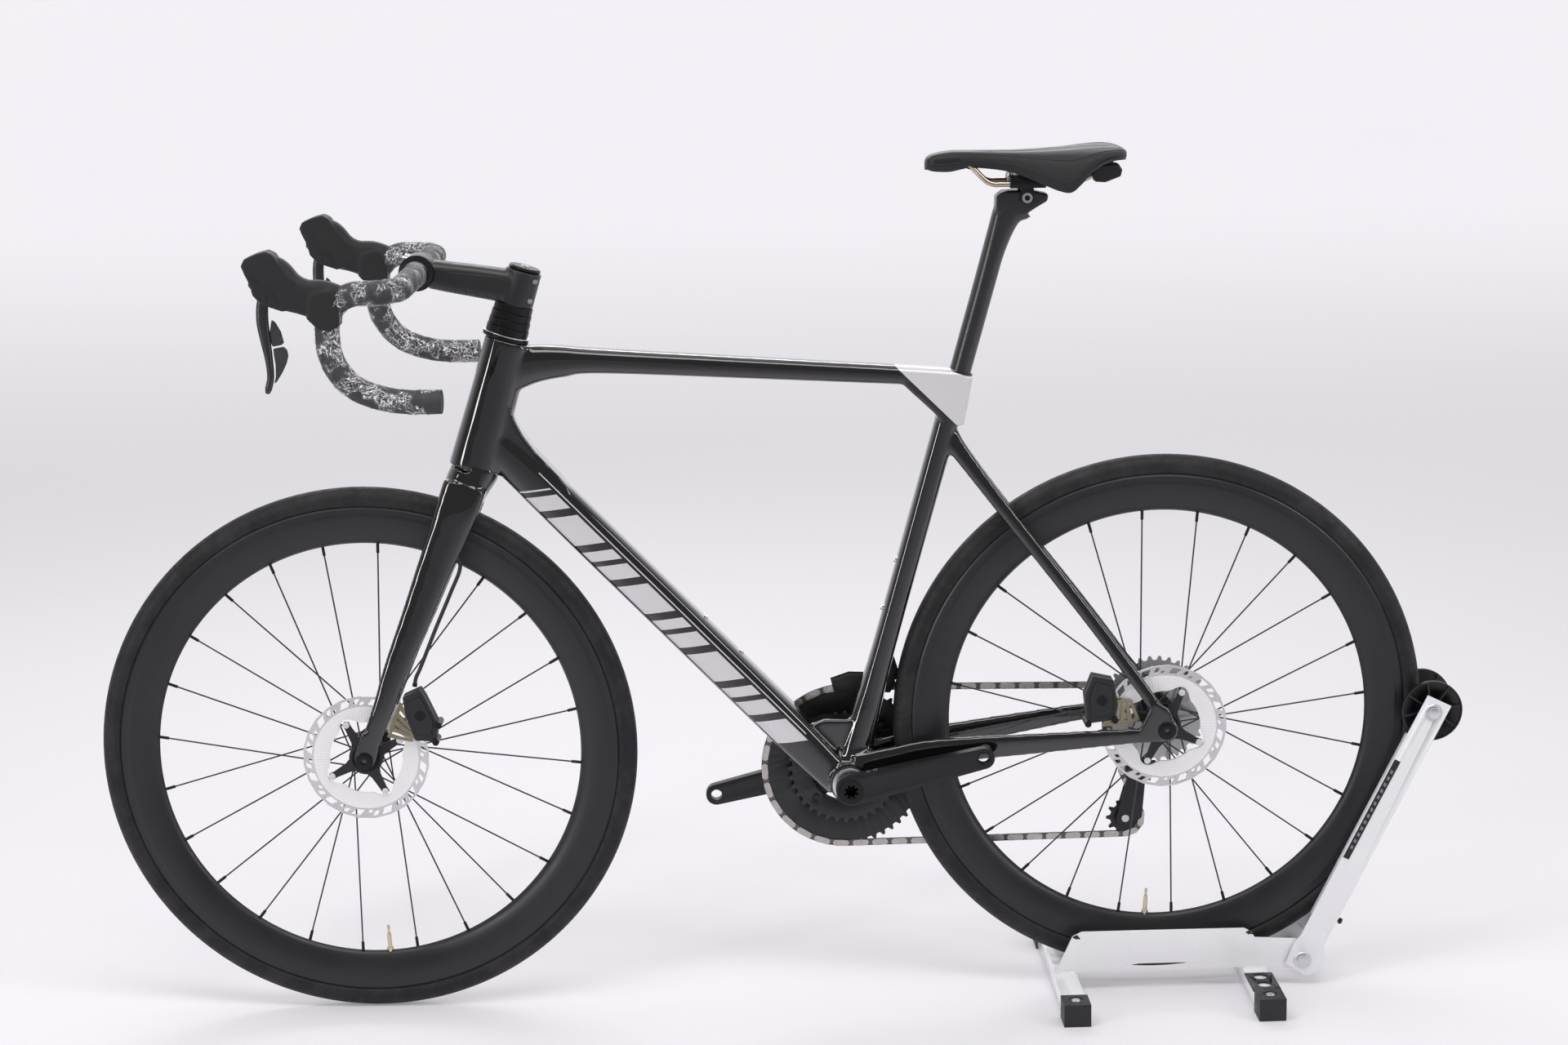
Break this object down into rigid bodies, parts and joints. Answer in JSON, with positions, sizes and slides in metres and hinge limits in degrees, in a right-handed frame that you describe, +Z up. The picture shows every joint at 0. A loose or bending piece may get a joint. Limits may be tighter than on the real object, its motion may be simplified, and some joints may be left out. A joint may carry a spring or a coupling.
{
  "type": "bicycle on display stand",
  "caption": "Road bicycle with drop handlebar, disc brakes and deep rims, its rear wheel held upright in a floor stand with a sprung roller arm.",
  "frame": {"origin": "on the floor in the bicycle's mid-plane, straight below the bottom bracket's axis", "axes": "+X forward towards the front wheel, +Y to the rider's left, +Z up"},
  "size_m": [1.7335, 0.4661, 1.0897],
  "materials": {
    "stand_paint": "gloss",
    "foot_rubber": "satin",
    "black_plastic": "satin",
    "steel": "satin",
    "frame_lacquer": "gloss",
    "bare_alloy": "satin",
    "black_alloy": "satin",
    "crank_black": "satin",
    "caliper_black": "satin",
    "chain_steel": "satin",
    "cassette_steel": "satin",
    "pulley_plastic": "matte",
    "bar_carbon": "satin",
    "tape": "matte",
    "hood_rubber": "matte",
    "lever_plastic": "satin",
    "hose": "satin",
    "tyre": "matte",
    "rim_carbon": "satin",
    "spoke_steel": "satin",
    "rotor_steel": "satin",
    "post_carbon": "satin",
    "rail_metal": "satin",
    "saddle_cover": "matte"
  },
  "bodies": {
    "stand": {"stand_side_plates": "stand_paint", "stand_cross_tubes": "stand_paint", "stand_feet": "foot_rubber", "foot_cover": "black_plastic"},
    "arm": {"arm": "stand_paint", "arm_bolts": "steel", "arm_spring": "steel"},
    "roller_left": {"roller_left": "black_plastic"},
    "roller_right": {"roller_right": "black_plastic"},
    "frame": {"head_tube": "frame_lacquer", "top_tube": "frame_lacquer", "down_tube": "frame_lacquer", "seat_tube": "frame_lacquer", "bottom_bracket_shell": "frame_lacquer", "frame_bearings": "steel", "seat_stays": "frame_lacquer", "chain_stays": "frame_lacquer", "rear_axle": "black_alloy", "bottle_bosses": "bare_alloy", "rear_caliper": "caliper_black", "front_derailleur": "black_plastic", "rear_derailleur": "black_alloy", "chain": "chain_steel"},
    "crank": {"crank_left": "crank_black", "crank_right": "crank_black", "chainrings": "black_alloy"},
    "cassette": {"cassette": "cassette_steel"},
    "guide_pulley": {"guide_pulley": "pulley_plastic"},
    "tension_pulley": {"tension_pulley": "pulley_plastic"},
    "fork": {"fork": "frame_lacquer", "stem": "black_alloy", "headset_stack": "black_alloy", "handlebar": "bar_carbon", "bar_tape": "tape", "brake_hoods": "hood_rubber", "front_axle": "black_alloy", "front_caliper": "caliper_black", "front_brake_hose": "hose"},
    "front_wheel": {"front_tyre": "tyre", "front_rim": "rim_carbon", "front_spokes": "spoke_steel", "front_hub": "black_alloy", "front_rotor": "rotor_steel", "front_valve": "black_alloy"},
    "rear_wheel": {"rear_tyre": "tyre", "rear_rim": "rim_carbon", "rear_spokes": "spoke_steel", "rear_hub": "black_alloy", "rear_rotor": "rotor_steel", "rear_valve": "black_alloy"},
    "lever_left": {"brake_lever_left": "lever_plastic"},
    "lever_right": {"brake_lever_right": "lever_plastic"},
    "upper_paddle_left": {"upper_paddle_left": "lever_plastic"},
    "lower_paddle_left": {"lower_paddle_left": "lever_plastic"},
    "upper_paddle_right": {"upper_paddle_right": "lever_plastic"},
    "lower_paddle_right": {"lower_paddle_right": "lever_plastic"},
    "seatpost": {"seatpost": "post_carbon"},
    "saddle_clamp": {"saddle_clamp": "black_alloy"},
    "saddle": {"saddle_rails": "rail_metal", "saddle": "saddle_cover"}
  },
  "joints": [
    {"name": "bike_lift", "type": "slide", "parent": "stand", "child": "frame", "axis": [0, 0, 1], "range_m": [0, 0.12]},
    {"name": "arm_swing", "type": "hinge", "parent": "stand", "child": "arm", "pos_m": [-0.585, 0, 0.035], "axis": [0, 1, 0], "range_deg": [-22, 0], "stiffness_Nm_per_rad": 1.2, "springref_deg": 34.38},
    {"name": "roller_left_spin", "type": "hinge", "parent": "arm", "child": "roller_left", "pos_m": [-0.747, 0.018, 0.363], "axis": [0, 1, 0], "continuous": true},
    {"name": "roller_right_spin", "type": "hinge", "parent": "arm", "child": "roller_right", "pos_m": [-0.747, -0.018, 0.363], "axis": [0, 1, 0], "continuous": true},
    {"name": "steer", "type": "hinge", "parent": "frame", "child": "fork", "pos_m": [0.57831, 0, 0.33109], "axis": [-0.2874, 0, 0.9578], "range_deg": [-53.8, 60.2]},
    {"name": "front_wheel_spin", "type": "hinge", "parent": "fork", "child": "front_wheel", "pos_m": [0.60795, -0.00173, 0.33999], "axis": [0.0535, 0.9984, 0.016], "continuous": true},
    {"name": "rear_wheel_spin", "type": "hinge", "parent": "frame", "child": "rear_wheel", "pos_m": [-0.3985, 0, 0.3595], "axis": [0, 1, 0], "continuous": true},
    {"name": "crank_spin", "type": "hinge", "parent": "frame", "child": "crank", "pos_m": [0, 0, 0.288], "axis": [0, 1, 0], "continuous": true},
    {"name": "cassette_spin", "type": "hinge", "parent": "frame", "child": "cassette", "pos_m": [-0.3985, -0.045, 0.3595], "axis": [0, 1, 0], "continuous": true},
    {"name": "guide_pulley_spin", "type": "hinge", "parent": "frame", "child": "guide_pulley", "pos_m": [-0.3845, -0.0627, 0.2705], "axis": [0, 1, 0], "continuous": true},
    {"name": "tension_pulley_spin", "type": "hinge", "parent": "frame", "child": "tension_pulley", "pos_m": [-0.3675, -0.0627, 0.2025], "axis": [0, 1, 0], "continuous": true},
    {"name": "left_brake_pull", "type": "hinge", "parent": "fork", "child": "lever_left", "pos_m": [0.68688, 0.19558, 0.94926], "axis": [0.0535, 0.9984, 0.016], "range_deg": [0, 18], "stiffness_Nm_per_rad": 0.6, "springref_deg": -14.32},
    {"name": "right_brake_pull", "type": "hinge", "parent": "fork", "child": "lever_right", "pos_m": [0.66431, -0.22576, 0.94249], "axis": [0.0535, 0.9984, 0.016], "range_deg": [0, 18], "stiffness_Nm_per_rad": 0.6, "springref_deg": -14.32},
    {"name": "upper_paddle_left_press", "type": "hinge", "parent": "lever_left", "child": "upper_paddle_left", "pos_m": [0.6823, 0.19477, 0.89024], "axis": [-0.0004, -0.016, 0.9999], "range_deg": [0, 8], "stiffness_Nm_per_rad": 0.02, "springref_deg": -5.73},
    {"name": "lower_paddle_left_press", "type": "hinge", "parent": "lever_left", "child": "lower_paddle_left", "pos_m": [0.6823, 0.19477, 0.89024], "axis": [-0.0004, -0.016, 0.9999], "range_deg": [0, 8], "stiffness_Nm_per_rad": 0.02, "springref_deg": -5.73},
    {"name": "upper_paddle_right_press", "type": "hinge", "parent": "lever_right", "child": "upper_paddle_right", "pos_m": [0.65995, -0.22257, 0.88354], "axis": [0.0004, 0.016, -0.9999], "range_deg": [0, 8], "stiffness_Nm_per_rad": 0.02, "springref_deg": -5.73},
    {"name": "lower_paddle_right_press", "type": "hinge", "parent": "lever_right", "child": "lower_paddle_right", "pos_m": [0.65995, -0.22257, 0.88354], "axis": [0.0004, 0.016, -0.9999], "range_deg": [0, 8], "stiffness_Nm_per_rad": 0.02, "springref_deg": -5.73},
    {"name": "seatpost_slide", "type": "slide", "parent": "frame", "child": "seatpost", "axis": [-0.2689, 0, 0.9632], "range_m": [-0.06, 0.05]},
    {"name": "saddle_tilt", "type": "hinge", "parent": "seatpost", "child": "saddle_clamp", "pos_m": [-0.228, 0, 1.028], "axis": [0, 1, 0], "range_deg": [-8, 8]},
    {"name": "saddle_slide", "type": "slide", "parent": "saddle_clamp", "child": "saddle", "axis": [1, 0, 0], "range_m": [-0.012, 0.012]}
  ],
  "couplings": [
    {"joint": "cassette_spin", "follows": "crank_spin", "ratio": 4.7273},
    {"joint": "guide_pulley_spin", "follows": "crank_spin", "ratio": -4.7273},
    {"joint": "tension_pulley_spin", "follows": "crank_spin", "ratio": 4.7273}
  ]
}
